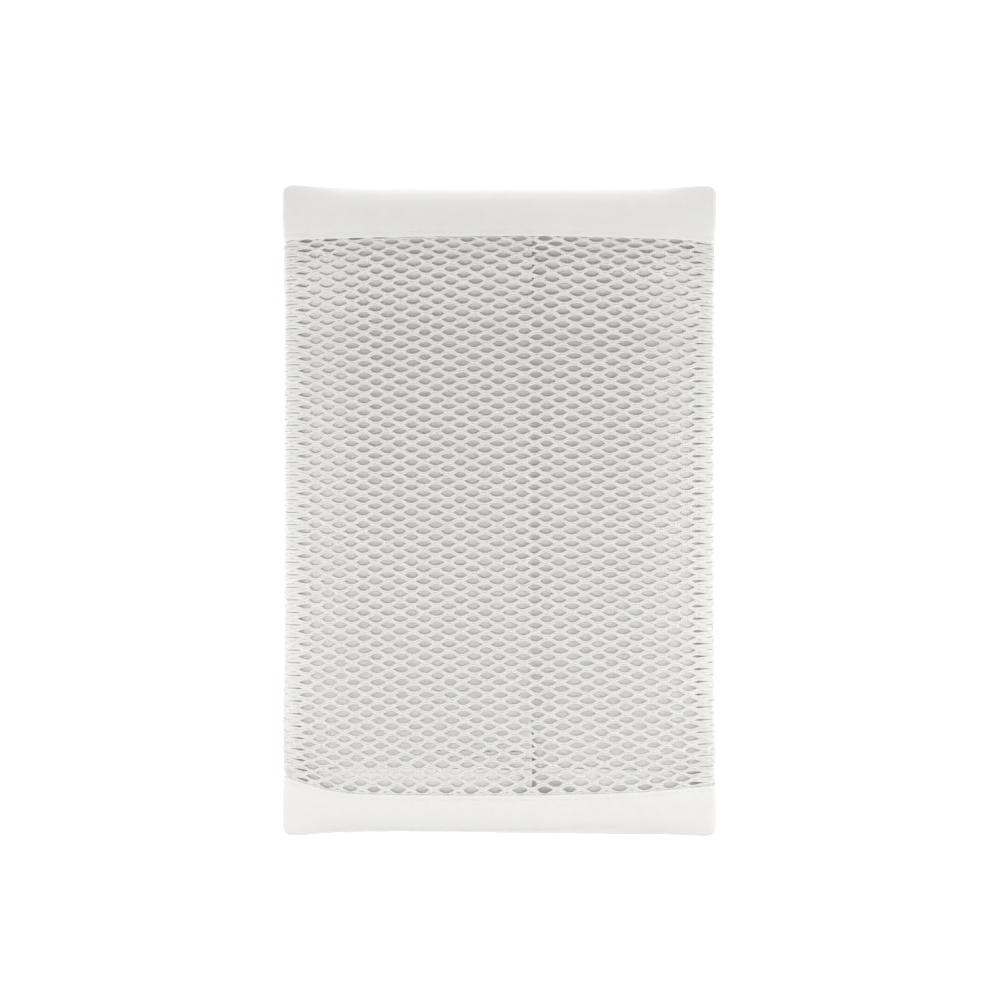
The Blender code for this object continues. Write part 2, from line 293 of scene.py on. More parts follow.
def portion(value, start, end):
    """How far value has come from start to end, kept between 0 and 1."""
    return np.clip((value - start) / (end - start), 0.0, 1.0)


def eased(value, start, end):
    """The same with a soft start and a soft end."""
    share = portion(value, start, end)
    return share * share * (3.0 - 2.0 * share)


def wave(angle):
    """A smooth wave between 0 and 1."""
    return 0.5 + 0.5 * np.sin(angle)


# The fold, worked out for whole arrays of points at once.


def top_line(column, x):
    """A column of TOP_ROWS at x, on a smooth curve through the rows."""
    places = np.array([row.x for row in TOP_ROWS])
    values = np.array([getattr(row, column) for row in TOP_ROWS])
    before = np.maximum(np.arange(len(places)) - 1, 0)
    after = np.minimum(np.arange(len(places)) + 1, len(places) - 1)
    slopes = (values[after] - values[before]) / (places[after] - places[before])
    left = np.searchsorted(places[1:-1], x)
    span = places[left + 1] - places[left]
    share = portion(x, places[left], places[left + 1])
    curve = blend(values[left], values[left + 1], share * share * (3 - 2 * share))
    curve += share * (1 - share) ** 2 * slopes[left] * span
    return curve - share * share * (1 - share) * slopes[left + 1] * span


def mesh_end(side, x):
    """Where the top layer's mesh ends, from mid height. side is 1 above and -1 below."""
    return np.where(side > 0, top_line("upper_mesh", x), top_line("lower_mesh", x))


def outline(side, x):
    """Where the packet's outline lies, from mid height."""
    return np.where(side > 0, top_line("upper_edge", x), top_line("lower_edge", x))


def layer_pitch(x, y):
    """How far apart the middles of two layers lie."""
    rise = np.where(y > 0, eased(y, *UPPER_RISE), eased(-y, *LOWER_RISE))
    fall = portion(abs(x), HALF_WIDTH - SIDE_FALL, HALF_WIDTH) ** 2
    fall *= 1.0 - eased(abs(y), *SIDE_FALL_FADE)
    return MESH_PITCH + (BINDING_PITCH - MESH_PITCH) * rise - (MESH_PITCH - SIDE_PITCH) * fall


def layer_height(level, x, y):
    """The height of the cloth's middle at a level, counted from the lowest layer."""
    base = blend(MESH_THICKNESS, BINDING_THICKNESS, eased(abs(y), *BASE_RISE)) / 2
    return base + level * layer_pitch(x, y)


def level_of(layer, x):
    """A layer's level. The tucked end has the top layer's own, and the top layer passes over it."""
    coming_down = TUCK_LAYER - eased(x - TUCK_END, *TUCK_SLOPE)
    return np.where(layer < TOP_LAYER, layer, np.where(layer >= TUCK_LAYER, TOP_LAYER, coming_down))


def lip_share(x):
    """How fully the top layer's edges turn down at x. At the packet's corners they don't."""
    return eased(abs(x), *LIP_FADE)


def lip(side, width, reach, share):
    """How far out and how far down a point of the top layer's binding lies."""
    radius = np.where(side > 0, LIP_RADIUS[1], LIP_RADIUS[-1])
    level_run = reach - radius
    turn = portion(width, level_run, level_run + radius * math.pi / 2) * math.pi / 2
    hang = np.maximum(width - level_run - radius * math.pi / 2, 0.0)
    out = np.minimum(width, level_run) + radius * np.sin(turn)
    down = radius * (1.0 - np.cos(turn)) + hang
    return blend(width * reach / BINDING_WIDTH, out, share), down * share


def inner_edge(layer, side, x):
    """The edge of a layer under the top one, from mid height."""
    uneven = EDGE_UNEVENNESS * wave(EDGE_PHASE * layer + EDGE_WAVE * x + side)
    covered = layer >= np.where(side > 0, COVERED_BY_UPPER_LIP, COVERED_BY_LOWER_LIP)
    inset = (LIP_INSET + BINDING_THICKNESS / 2) * eased(lip_share(x), 0.0, LIP_INSET_FULL)
    return outline(side, x) - uneven - np.where(covered, inset, 0.0)


def net_row(x, across):
    """The y of the top layer's net: level rows at mid height that give way to the bindings."""
    lower = -MESH_REFERENCE[-1]
    upper = MESH_REFERENCE[1] + TOP_SQUEEZE
    level = blend(lower, upper, (across + MESH_HALF) / (2 * MESH_HALF))
    level -= TOP_SQUEEZE * portion(across, TOP_SQUEEZE_START, MESH_HALF) ** 2
    side = np.where(across > 0, 1.0, -1.0)
    reference = np.where(across > 0, MESH_REFERENCE[1], MESH_REFERENCE[-1])
    give = portion(abs(across), EDGE_GIVE, MESH_HALF) ** 2
    return level + side * (mesh_end(side, x) - reference) * give


def place_across(layer, x, across):
    """The y of a point that lies `across` from the strip's mid line, and how far it hangs down."""
    side = np.where(across > 0, 1.0, -1.0)
    covered_y = across * inner_edge(layer, side, x) / HALF_HEIGHT
    end = mesh_end(side, x)
    share = lip_share(x)
    reach = outline(side, x) - BINDING_THICKNESS / 2 * share - end
    out, down = lip(side, np.maximum(abs(across) - MESH_HALF, 0.0), reach, share)
    in_tape = abs(across) > MESH_HALF
    top_y = np.where(in_tape, side * (end + out), net_row(x, across))
    on_top = layer == TOP_LAYER
    return np.where(on_top, top_y, covered_y), np.where(on_top & in_tape, down, 0.0)


def corner_cut(level, x, across):
    """How much further in a point lies where the packet's upper corners are rounded."""
    past = portion(abs(x), HALF_WIDTH - CORNER_RADIUS, HALF_WIDTH)
    cut = CORNER_RADIUS * (1.0 - np.sqrt(1.0 - past * past))
    cut *= eased(level, TOP_LAYER - CORNER_LAYERS, TOP_LAYER)
    return np.copysign(cut * eased(abs(across), MESH_HALF, HALF_HEIGHT), across)


def fold_x(layer, across=0.0):
    """Where the layer's straight run ends and its fold begins."""
    layer = np.asarray(layer, float)
    across = np.asarray(across, float)
    in_binding = eased(abs(across), MESH_HALF - FOLD_THICKENING, MESH_HALF)
    half_thickness = blend(MESH_THICKNESS, BINDING_THICKNESS, in_binding) / 2
    depth = FOLD_ROUNDNESS * layer_pitch(HALF_WIDTH, across) / 2
    x = HALF_WIDTH - half_thickness - depth
    x = x - np.where(layer < TOP_LAYER - 1, FOLD_UNEVENNESS * wave(FOLD_PHASE * layer), 0.0)
    x = np.where(layer % 2 == 0, x, -x)
    return np.where(layer == TUCK_LAYER, TUCK_END, x)


def whole_lengths():
    """The length along the strip's mid line at each whole stage.

    A stage counts along the strip, 2 for each layer: 2 * layer + 0 to 1 is the layer's straight
    run, and 2 * layer + 1 to 2 is the fold after it.
    """
    turn_radius = float(layer_pitch(HALF_WIDTH, np.array(0.0))) / 2 * (1.0 + FOLD_ROUNDNESS) / 2
    lengths = [0.0]
    for layer in range(FULL_LAYERS):
        lengths.append(lengths[-1] + float(abs(fold_x(layer) - fold_x(layer - 1))))
        lengths.append(lengths[-1] + math.pi * turn_radius)
    lengths.append(PANEL_LENGTH)
    return lengths


TUCK_END = 0.0  # not yet known, and used by no layer that is counted below
LENGTHS = whole_lengths()
TUCK_END = float(fold_x(TOP_LAYER)) + LENGTHS[-1] - LENGTHS[-2]
LAST_STAGE = 2 * TUCK_LAYER + 1
TOP_START = LENGTHS[2 * TOP_LAYER]
TOP_END = LENGTHS[2 * TOP_LAYER + 1]


def stage_at(length):
    """The stage at a length along the strip."""
    return np.interp(length, LENGTHS, np.arange(len(LENGTHS)))


def middle(stage, across):
    """Points in the middle of the cloth's thickness."""
    layer = np.clip(np.floor(stage / 2), 0, TUCK_LAYER)
    share = stage - 2 * layer
    turn = math.pi * np.maximum(share - 1.0, 0.0)
    turned = (1.0 - np.cos(turn)) / 2
    end = fold_x(layer, across)
    x = blend(fold_x(layer - 1, across), end, np.minimum(share, 1.0))
    y, down = place_across(layer, x, across)
    next_y = place_across(layer + 1, x, across)[0]
    y = blend(y, next_y, turned)
    level = level_of(layer, x)
    next_level = level_of(layer + 1, x)
    depth = FOLD_ROUNDNESS * abs(next_level - level) * layer_pitch(x, y) / 2
    x = x + np.copysign(depth * np.sin(turn), x)
    at_level = blend(level, next_level, turned)
    z = layer_height(at_level, x, y) - down * (1.0 - turned)
    return np.stack([x, y - corner_cut(at_level, x, across), z], axis=-1)


def folded(length, across, off):
    """Points of the flat cloth in their places in the packet, which is pressed flat below."""
    stage = stage_at(length)
    before = np.maximum(stage - STAGE_STEP, 0.0)
    after = np.minimum(stage + STAGE_STEP, LAST_STAGE)
    along = middle(after, across) - middle(before, across)
    over = middle(stage, across + ACROSS_STEP) - middle(stage, across - ACROSS_STEP)
    normal = np.cross(along, over)
    normal /= np.linalg.norm(normal, axis=-1, keepdims=True)
    points = middle(stage, across) + normal * off[..., None]
    points[..., 2] = np.maximum(points[..., 2], 0.0)
    return points


# Meshes.


def points_of(mesh):
    points = np.empty(len(mesh.vertices) * 3, np.float32)
    mesh.vertices.foreach_get("co", points)
    return points.reshape(-1, 3).astype(float)


def set_points(mesh, points):
    mesh.vertices.foreach_set("co", points.astype(np.float32).ravel())
    mesh.update()


def set_attribute(mesh, name, columns):
    """Three numbers for each point, for the material to read."""
    attribute = mesh.attributes.new(name, "FLOAT_VECTOR", "POINT")
    attribute.data.foreach_set("vector", np.stack(columns, axis=-1).astype(np.float32).ravel())


def object_of(name, mesh):
    piece = bpy.data.objects.new(name, mesh)
    bpy.context.scene.collection.objects.link(piece)
    return piece


def repeated(name, mesh, offset, count):
    """A new mesh of the given one, repeated at an offset by an Array modifier."""
    pattern = object_of(name, mesh)
    array = pattern.modifiers.new("rows", "ARRAY")
    array.use_relative_offset = False
    array.use_constant_offset = True
    array.constant_offset_displace = offset
    array.count = count
    evaluated = pattern.evaluated_get(bpy.context.evaluated_depsgraph_get())
    made = bpy.data.meshes.new_from_object(evaluated)
    made.name = name
    bpy.data.objects.remove(pattern, do_unlink=True)
    bpy.data.meshes.remove(mesh)
    return made


def straight_cord(name, sides, width, thickness, stations, flat=False):
    """A cord along x with a ring of points at each station. A flat one lies on a flat side."""
    cord = bmesh.new()
    along_x = Matrix.Translation((0.5, 0.0, 0.0)) @ Matrix.Rotation(math.pi / 2, 4, "Y")
    radius = 0.5
    if flat:
        along_x @= Matrix.Rotation(math.pi / sides, 4, "Z")
        radius = 0.5 / math.cos(math.pi / sides)
    bmesh.ops.create_cone(
        cord, cap_ends=True, segments=sides, radius1=radius, radius2=radius, depth=1.0, matrix=along_x
    )
    bmesh.ops.scale(cord, vec=(1.0, width, thickness), verts=cord.verts)
    lengthwise = [edge for edge in cord.edges if abs(edge.verts[0].co.x - edge.verts[1].co.x) > 0.5]
    steps = len(stations) - 1
    bmesh.ops.subdivide_edges(cord, edges=lengthwise, cuts=steps - 1, use_grid_fill=True)
    for vert in cord.verts:
        vert.co.x = stations[round(vert.co.x * steps)]
    mesh = bpy.data.meshes.new(name)
    cord.to_mesh(mesh)
    cord.free()
    return mesh


# The net.


def net_stations(start, end, rings, unseen=False):
    """Where a rope's rings of points lie between two lengths along the strip."""
    step = HOLE_PITCH / rings
    stations = {start, end}
    for stage in range(LAST_STAGE):
        low, high = LENGTHS[stage], LENGTHS[stage + 1]
        if stage % 2 == 1:
            stations |= {blend(low, high, i / FOLD_RINGS) for i in range(FOLD_RINGS + 1)}
        else:
            first = math.ceil((low + step / 2) / step)
            last = math.floor((high - step / 2) / step)
            for i in range(first, last + 1):
                deep = low + HIDDEN_MARGIN < step * i < high - HIDDEN_MARGIN
                if not (unseen and deep) or i % HIDDEN_SKIP == 0:
                    stations.add(step * i)
    return sorted(station for station in stations if start <= station <= end)


def face_hole_phase(x, y):
    """How far along its row a point of the top layer lies, in holes. The columns bow and slant."""
    height = portion(y, -MESH_HALF, MESH_HALF)
    pitch = blend(LOWER_HOLE_PITCH, UPPER_HOLE_PITCH, portion(height, HOLE_PITCH_RISE, 1.0))
    bow = COLUMN_BOW * np.sqrt(1.0 - (2.0 * height - 1.0) ** 2)
    holes = (x - COLUMN_ORIGIN + bow) / pitch
    return holes - PITCH_DRIFT * holes * holes


def face_row_shift(x, across):
    """How far up the rows of the top layer move. They sag at the upper left, so it is negative."""
    sag = portion(x, *ROW_SAG_RUN) ** ROW_SAG_SOFTNESS
    return -ROW_SAG * sag * eased(across, *ROW_SAG_FADE)


def hole_columns(row, phase):
    """A phase, counted in its row's own holes. Those of odd rows lie between those of even ones."""
    return phase + 0.5 * (row % 2)


def hole_half(row, phase, height):
    """Half the height of a row's holes at a phase."""
    columns = hole_columns(row, phase)
    hole = np.round(columns)
    from_middle = abs(columns - hole) * HOLE_PITCH / (HOLE_LENGTH / 2)
    uneven = 1.0 + HOLE_UNEVENNESS * np.sin(HOLE_ROW_PHASE * row + HOLE_COLUMN_PHASE * hole)
    return height / 2 * uneven * np.maximum(1.0 - from_middle**2, 0.0) ** HOLE_ROUNDNESS


def cords_in_a_row(name, sides, stations, count, flat=False):
    """Straight cords beside each other, 1 wide and 1 thick, as one mesh.

    With it come, for each point, its length, its place beside its cord's middle, its height and
    its cord's number.
    """
    cord = straight_cord(name, sides, 1.0, 1.0, stations, flat)
    mesh = repeated(name, cord, (0.0, CORDS_APART, 0.0), count)
    length, across, off = points_of(mesh).T
    number = np.round(across / CORDS_APART)
    return mesh, length, across - CORDS_APART * number, off, number


def net_of(name, mesh):
    """The finished net as a piece."""
    piece = object_of(name, mesh)
    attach(piece, "root")
    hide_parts("mesh_panel")
    return piece


def sewn_flat(across):
    """The share of its thickness that the net keeps. It is thinner where it is sewn in."""
    return 1.0 - SEAM_THINNING * eased(abs(across), *SEAM_PRESSING)


def end_sink(from_end, y):
    """How far the tucked end's net, and the top one with it, sinks onto the layer below."""
    return END_SINK * eased(from_end, END_SINK_RUN, 0.0) * (1.0 - eased(abs(y), *SINK_FADE))


def rope_net(
    name, start, end, rings=UNDER_RINGS, hole_height=COVERED_HOLE_HEIGHT, unseen=False, flat=True
):
    """The net of the layers under the top one, between two lengths along the strip.

    Its holes are full at every fold and hole_height high between folds. An unseen net has few
    rings of points between its folds, and a flat one's ropes are ribbons.
    """
    stations = net_stations(start, end, rings, unseen)
    mesh, length, beside, off, rope = cords_in_a_row(name, UNDER_SIDES, stations, ROPE_COUNT, flat)
    layer = np.floor(stage_at(length) / 2)
    place = FIRST_ROPE + rope * ROPE_SPACING
    drift = np.sin(WANDER_PHASE * layer + WANDER_WAVE * length)
    drift = drift + CROWDING_SHARE * np.sin(CROWDING_PHASE * layer + CROWDING_WAVE * place)
    place = place + ROW_WANDER * drift * (1.0 - eased(abs(place), *ROW_WANDER_FADE))
    run_start = np.array(LENGTHS)[2 * layer.astype(int)]
    run_end = np.where(layer < TUCK_LAYER, np.array(LENGTHS)[2 * layer.astype(int) + 1], np.inf)
    from_fold = np.minimum(length - run_start, run_end - length)
    height = blend(HOLE_HEIGHT, hole_height, eased(from_fold, 0.0, OPEN_AT_FOLDS))
    phase = length / HOLE_PITCH
    above = ROPE_SPACING / 2 - hole_half(rope, phase, height)
    below = ROPE_SPACING / 2 - hole_half(rope - 1, phase, height)
    width = above + below + ROPE_OVERLAP
    spread = portion(width, ROPE_SPACING - HOLE_HEIGHT, ROPE_SPACING)
    thickness = RIBBON_THICKNESS if flat else ROPE_THICKNESS
    off = off * thickness * (1.0 - ROPE_THINNING * spread) + ROPE_STAGGER * (1.0 - 2.0 * (rope % 2))
    off = off * sewn_flat(place)
    from_end = PANEL_LENGTH - length
    off -= end_sink(from_end, place_across(TUCK_LAYER, TUCK_END - from_end, place)[0])
    beside = beside * width
    set_points(mesh, folded(length, place + (above - below) / 2 + beside, off))
    set_attribute(mesh, "yarn", (length, beside, rope))
    if not flat:
        mesh.shade_smooth()
    return net_of(name, mesh)


def face_drop(x, place):
    """How far the top layer's net lies below the place that the fold gives it."""
    above_next = blend(FACE_PITCH[-1], FACE_PITCH[1], portion(place, -MESH_HALF, MESH_HALF))
    above_next = blend(above_next, np.minimum(above_next, BESIDE_PITCH), eased(abs(x), *BESIDE_FADE))
    sunk = end_sink(TUCK_END - x, net_row(x, place))
    past_end = (level_of(TOP_LAYER, x) - TOP_LAYER) * layer_pitch(x, place)
    drop = layer_pitch(x, place) - above_next
    drop += blend(sunk, past_end, eased(x - TUCK_END, *NET_TUCK_SLOPE))
    return drop * (1.0 - eased(abs(x), *DROP_FADE_ALONG)) * (1.0 - eased(abs(place), *DROP_FADE))


def yarn_net(name, start, end, first, last):
    """The net of the top layer, from one row of holes to another, with two yarns to a row.

    Over the middle of each hole the two run apart, one above and one below it. Over the rest of
    the pitch they change sides, and fill what the holes of the next rows leave.
    """
    stations = net_stations(start, end, FACE_RINGS)
    cords = cords_in_a_row(name, FACE_SIDES, stations, 2 * (last - first))
    mesh, length, beside, off, cord = cords
    row = first + cord // 2
    strand = 1.0 - 2.0 * (cord % 2)
    x = float(fold_x(TOP_LAYER - 1)) - (length - TOP_START)
    closing = FOLD_CLOSING_SHARE * eased(abs(x), *FOLD_CLOSING)
    past_top = np.maximum(TOP_START - length, length - TOP_END)
    open_height = blend(HOLE_HEIGHT, COVERED_HOLE_HEIGHT, eased(past_top, *TURNED_UNDER))
    hole_height = open_height * (1.0 - closing)

    def line_of(number):
        level = FIRST_ROPE + (number + 0.5) * ROPE_SPACING
        return level + face_row_shift(x, level)

    def half_of(number):
        line = line_of(number)
        drawn_shut = SEAM_CLOSING_SHARE * eased(abs(line), *SEAM_CLOSING)
        return hole_half(number, face_hole_phase(x, line), hole_height * (1.0 - drawn_shut))

    columns = hole_columns(row, face_hole_phase(x, line_of(row)))
    hole = np.round(columns)
    apart = np.cos(2 * math.pi * np.maximum(abs(columns - hole) - YARNS_APART, 0.0))
    side = strand * (1.0 - 2.0 * (hole % 2))
    inner = half_of(row)
    above = (inner + ROPE_SPACING - half_of(row + 1)) / 2
    below = (inner + ROPE_SPACING - half_of(row - 1)) / 2
    outer = blend((above + below) / 2, np.where(side > 0, above, below), apart)
    width = outer * (2.0 - apart) - inner
    overlap = (YARN_OVERLAP - 1.0) * width
    place = line_of(row) + side * (apart * (outer + overlap) + inner) / 2
    beside = beside * (width + overlap)
    over = strand * (1.0 - 2.0 * ((np.floor(columns) + row) % 2))
    off = (off * YARN_THICKNESS + over * CROSSING_LIFT * (1.0 - apart)) * sewn_flat(place)
    off += face_drop(x, place)
    set_points(mesh, folded(length, place + beside, off))
    set_attribute(mesh, "yarn", (length, beside, cord))
    mesh.shade_smooth()
    return net_of(name, mesh)


# The bindings.


def tape_stations():
    """Where the tape has its sections, as lengths along the strip."""
    stations = set()
    for stage in range(LAST_STAGE):
        low, high = LENGTHS[stage], LENGTHS[stage + 1]
        if stage % 2 == 1:
            count = FOLD_RINGS
        elif stage == 2 * TOP_LAYER:
            count = round((high - low) / TAPE_STEP)
        else:
            count = math.ceil((high - low) / TAPE_UNDER_STEP)
        stations |= {blend(low, high, i / count) for i in range(count + 1)}
    return sorted(stations)


def tape_section(side):
    """The closed outline of the binding's section, as (place across, off the middle)."""
    front = [(row.width, row.half) for row in TAPE_ROWS]
    slot = [(row.width, row.half) for row in SLOT_ROWS]
    outline_points = front + [(width, -half) for width, half in reversed(front)]
    outline_points += [(width, -half) for width, half in reversed(slot)]
    outline_points += slot
    return [(side * (MESH_HALF + width), off) for width, off in outline_points]


def loft_height(row, length, width):
    """A row of LOFT_ROWS at a point of the tape."""
    height = row.share
    for wave_along, wave_across, phase in (row.first, row.second):
        height = height * np.sin(wave_along * length + wave_across * width + phase)
    return height


def tape_puckers(length, width):
    """How much fuller or flatter the tape is, from its stitching and its loft."""
    near_seam = np.exp(-((width - SEAM_PLACE - PUCKER_PLACE) / PUCKER_REACH) ** 2)
    pull = 0.5 + 0.5 * np.cos(2 * math.pi * length / STITCH_PITCH)
    loft = sum(loft_height(row, length, width) for row in LOFT_ROWS)
    return LOFT_DEPTH * loft - PUCKER_DEPTH * near_seam * pull


def tape_piece(name, node, side):
    """A binding: the section as a face, drawn out along the strip, then folded."""
    stations = tape_stations()
    strip = bmesh.new()
    face = strip.faces.new([strip.verts.new((stations[0], *point)) for point in tape_section(side)])
    for station, following in zip(stations, stations[1:]):
        made = bmesh.ops.extrude_face_region(strip, geom=[face])["geom"]
        if station > stations[0]:
            bmesh.ops.delete(strip, geom=[face], context="FACES_ONLY")
        face = next(item for item in made if isinstance(item, bmesh.types.BMFace))
        for vert in face.verts:
            vert.co.x = following
    bmesh.ops.triangulate(strip, faces=[face for face in strip.faces if len(face.verts) > 4])
    bmesh.ops.recalc_face_normals(strip, faces=strip.faces)
    mesh = bpy.data.meshes.new(name)
    strip.to_mesh(mesh)
    strip.free()
    length, across, off = points_of(mesh).T
    puckers = np.sign(off) * tape_puckers(length, abs(across) - MESH_HALF)
    off = off + np.where(abs(off) > OUTER_FACE, puckers, 0.0)
    set_points(mesh, folded(length, across, off))
    mesh.shade_smooth()
    piece = object_of(name, mesh)
    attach(piece, "root")
    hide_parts(node)
    return piece


def stitch_shows(length):
    """True on the top and the bottom of the packet and beside its folds."""
    layer = int(stage_at(length) // 2)
    if layer in (0, TOP_LAYER):
        return True
    return any(abs(length - LENGTHS[i]) < STITCH_SHOWN for i in range(1, LAST_STAGE))


def stitch_number(length):
    """Which stitch a point of the straight row belongs to."""
    return np.floor(length / STITCH_PITCH + COUNTING_SLACK)


def stitching_piece(name, side):
    """The stitches that show in the binding's seam, on both faces of the cloth."""
    stations = [STITCH_LENGTH * share for share in STITCH_SHARES]
    stitch = straight_cord(name, STITCH_SIDES, THREAD_THICKNESS, THREAD_THICKNESS, stations)
    count = int((PANEL_LENGTH - STITCH_PITCH) / STITCH_PITCH)
    mesh = repeated(name, stitch, (STITCH_PITCH, 0.0, 0.0), count)
    rows = bmesh.new()
    rows.from_mesh(mesh)
    copies = bmesh.ops.duplicate(rows, geom=rows.verts[:] + rows.edges[:] + rows.faces[:])["geom"]
    for item in copies:
        if isinstance(item, bmesh.types.BMVert):
            item.co.y += FACES_APART
    hidden = []
    for vert in rows.verts:
        centre = stitch_number(vert.co.x) * STITCH_PITCH + STITCH_LENGTH / 2
        if not stitch_shows(centre):
            hidden.append(vert)
    bmesh.ops.delete(rows, geom=hidden, context="VERTS")
    rows.to_mesh(mesh)
    rows.free()
    length, beside, off = points_of(mesh).T
    back = beside > FACES_APART / 2
    beside = np.where(back, beside - FACES_APART, beside)
    share = length / STITCH_PITCH - stitch_number(length)
    share = share * STITCH_PITCH / STITCH_LENGTH
    bow = 4.0 * share * (1.0 - share)
    groove = np.interp(SEAM_PLACE, [row.width for row in TAPE_ROWS], [row.half for row in TAPE_ROWS])
    lifted = groove + THREAD_THICKNESS * (STITCH_BOW * bow - STITCH_SINK)
    facing = np.where(back, -1.0, 1.0)
    across = side * (MESH_HALF + SEAM_PLACE + beside)
    set_points(mesh, folded(length + STITCH_GAP / 2, across, facing * lifted + off))
    if side < 0:
        mesh.flip_normals()
    set_attribute(mesh, "yarn", (length, beside, facing))
    mesh.shade_smooth()
    piece = object_of(name, mesh)
    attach(piece, "root")
    return piece


# Materials.


def linear(hex_colour):
    """An sRGB hex colour as linear RGBA."""
    channels = [int(hex_colour[i : i + 2], 16) / 255 for i in (1, 3, 5)]
    return [c / 12.92 if c <= 0.04045 else ((c + 0.055) / 1.055) ** 2.4 for c in channels] + [1.0]


def set_inputs(node, values):
    """Sets a node's sockets to plain values."""
    for socket, value in values.items():
        node.inputs[socket].default_value = value


def add(tree, kind, values=None, links=None, **settings):
    """Adds a node with its settings, its sockets' values and its links."""
    node = tree.nodes.new(kind)
    for name, value in settings.items():
        setattr(node, name, value)
    set_inputs(node, values or {})
    for socket, source in (links or {}).items():
        tree.links.new(source, node.inputs[socket])
    return node


def new_material(name):
    """A material, its node tree and its shader."""
    material = bpy.data.materials.new(name)
    material.use_nodes = True
    return material, material.node_tree, material.node_tree.nodes["Principled BSDF"]


def knit_yarn():
    """Warp-knitted polyester yarn, white: soft and dull, with a faint sheen from its filaments.

    Each rope is two columns of small loops, so slanting loops run along it, over fine filaments.
    Its colour has painted shade: darker in the hollows between loops and fibres, lighter on their
    crests.
    """
    material, tree, shader = new_material("knit_polyester_yarn")
    place = add(tree, "ShaderNodeAttribute", attribute_name="yarn").outputs["Vector"]
    parts = add(tree, "ShaderNodeSeparateXYZ", links={0: place}).outputs
    sideways = add(tree, "ShaderNodeMath", links={0: parts["Y"]}, operation="ABSOLUTE").outputs[0]
    slant = add(
        tree, "ShaderNodeMath", {1: LOOP_SLANT, 2: 0.0}, {0: sideways}, operation="MULTIPLY_ADD"
    ).outputs[0]
    run = add(tree, "ShaderNodeMath", links={0: parts["X"], 1: slant}, operation="ADD").outputs[0]
    turns = add(
        tree, "ShaderNodeMath", {1: 2 * math.pi / LOOP_LENGTH}, {0: run}, operation="MULTIPLY"
    ).outputs[0]
    loops = add(tree, "ShaderNodeMath", links={0: turns}, operation="SINE").outputs[0]
    fibres = add(
        tree, "ShaderNodeTexNoise", {"Scale": 1 / FIBRE_SPACING, "Detail": 3.0}, {"Vector": place}
    ).outputs["Fac"]
    relief = add(
        tree, "ShaderNodeMath", {1: FIBRE_RELIEF}, {0: fibres, 2: loops}, operation="MULTIPLY_ADD"
    ).outputs[0]
    bump = add(
        tree, "ShaderNodeBump", {"Strength": 0.5, "Distance": 0.00020}, {"Height": relief}
    ).outputs[0]
    tree.links.new(bump, shader.inputs["Normal"])
    # Painted shade: the white follows the relief, darker in the hollows between loops and fibres,
    # where their shade falls, and lighter on their crests.
    painted_relief_shade = add(
        tree, "ShaderNodeMapRange", {"From Min": 0.0, "From Max": 2.4}, {"Value": relief}
    ).outputs[0]
    whites = add(tree, "ShaderNodeMix", links={"Factor": painted_relief_shade}, data_type="RGBA")
    set_inputs(whites, {MIX_FIRST: linear("#F4F3F0"), MIX_SECOND: linear("#FDFCF9")})
    tree.links.new(whites.outputs[MIX_RESULT], shader.inputs["Base Color"])
    set_inputs(
        shader,
        {
            "Roughness": 0.62,
            "Specular IOR Level": 0.35,
            "Sheen Weight": 0.15,
            "Sheen Roughness": 0.5,
        },
    )
    return material


def brushed_tricot():
    """Brushed polyester tricot, white: a short matt nap over a fine knit, a little cloudy."""
    material, tree, shader = new_material("brushed_tricot_tape")
    place = add(tree, "ShaderNodeTexCoord").outputs["Object"]
    nap = add(
        tree, "ShaderNodeTexNoise", {"Scale": 1 / NAP_GRAIN, "Detail": 4.0}, {"Vector": place}
    ).outputs["Fac"]
    cloud = add(
        tree, "ShaderNodeTexNoise", {"Scale": 1 / CLOUD_SIZE, "Detail": 2.0}, {"Vector": place}
    ).outputs["Fac"]
    relief = add(
        tree, "ShaderNodeMath", {1: CLOUD_RELIEF}, {0: cloud, 2: nap}, operation="MULTIPLY_ADD"
    ).outputs[0]
    bump = add(
        tree, "ShaderNodeBump", {"Strength": 0.35, "Distance": 0.00010}, {"Height": relief}
    ).outputs[0]
    tree.links.new(bump, shader.inputs["Normal"])
    whites = add(tree, "ShaderNodeMix", links={"Factor": cloud}, data_type="RGBA")
    set_inputs(whites, {MIX_FIRST: linear("#EFEEED"), MIX_SECOND: linear("#F4F3F2")})
    tree.links.new(whites.outputs[MIX_RESULT], shader.inputs["Base Color"])
    set_inputs(
        shader,
        {
            "Roughness": 0.85,
            "Specular IOR Level": 0.25,
            "Sheen Weight": 0.25,
            "Sheen Roughness": 0.6,
        },
    )
    return material


def sewing_thread():
    """Spun polyester thread, white: a little smoother than the tape, with a fine twist."""
    material, tree, shader = new_material("spun_polyester_thread")
    place = add(tree, "ShaderNodeAttribute", attribute_name="yarn").outputs["Vector"]
    scale = 1 / THREAD_THICKNESS
    twist = add(
        tree, "ShaderNodeTexNoise", {"Scale": scale, "Detail": 2.0}, {"Vector": place}
    ).outputs["Fac"]
    bump = add(
        tree, "ShaderNodeBump", {"Strength": 0.3, "Distance": 0.00005}, {"Height": twist}
    ).outputs[0]
    tree.links.new(bump, shader.inputs["Normal"])
    set_inputs(shader, {"Base Color": linear("#F2F2F2"), "Roughness": 0.5})
    return material


def white_table():
    """A smooth matt white board, which glows a little, so that it stays white round the packet."""
    material, tree, shader = new_material("white_table_board")
    set_inputs(
        shader,
        {
            "Base Color": linear("#F2F2F2"),
            "Emission Color": (1.0, 1.0, 1.0, 1.0),
            "Emission Strength": 0.5,
            "Roughness": 0.9,
            "Specular IOR Level": 0.1,
        },
    )
    return material


# The stage.


def table(finish):
    board = bmesh.new()
    bmesh.ops.create_grid(board, x_segments=1, y_segments=1, size=TABLE_HALF_SIDE)
    mesh = bpy.data.meshes.new("table")
    board.to_mesh(mesh)
    board.free()
    mesh.materials.append(finish)
    object_of("table", mesh)


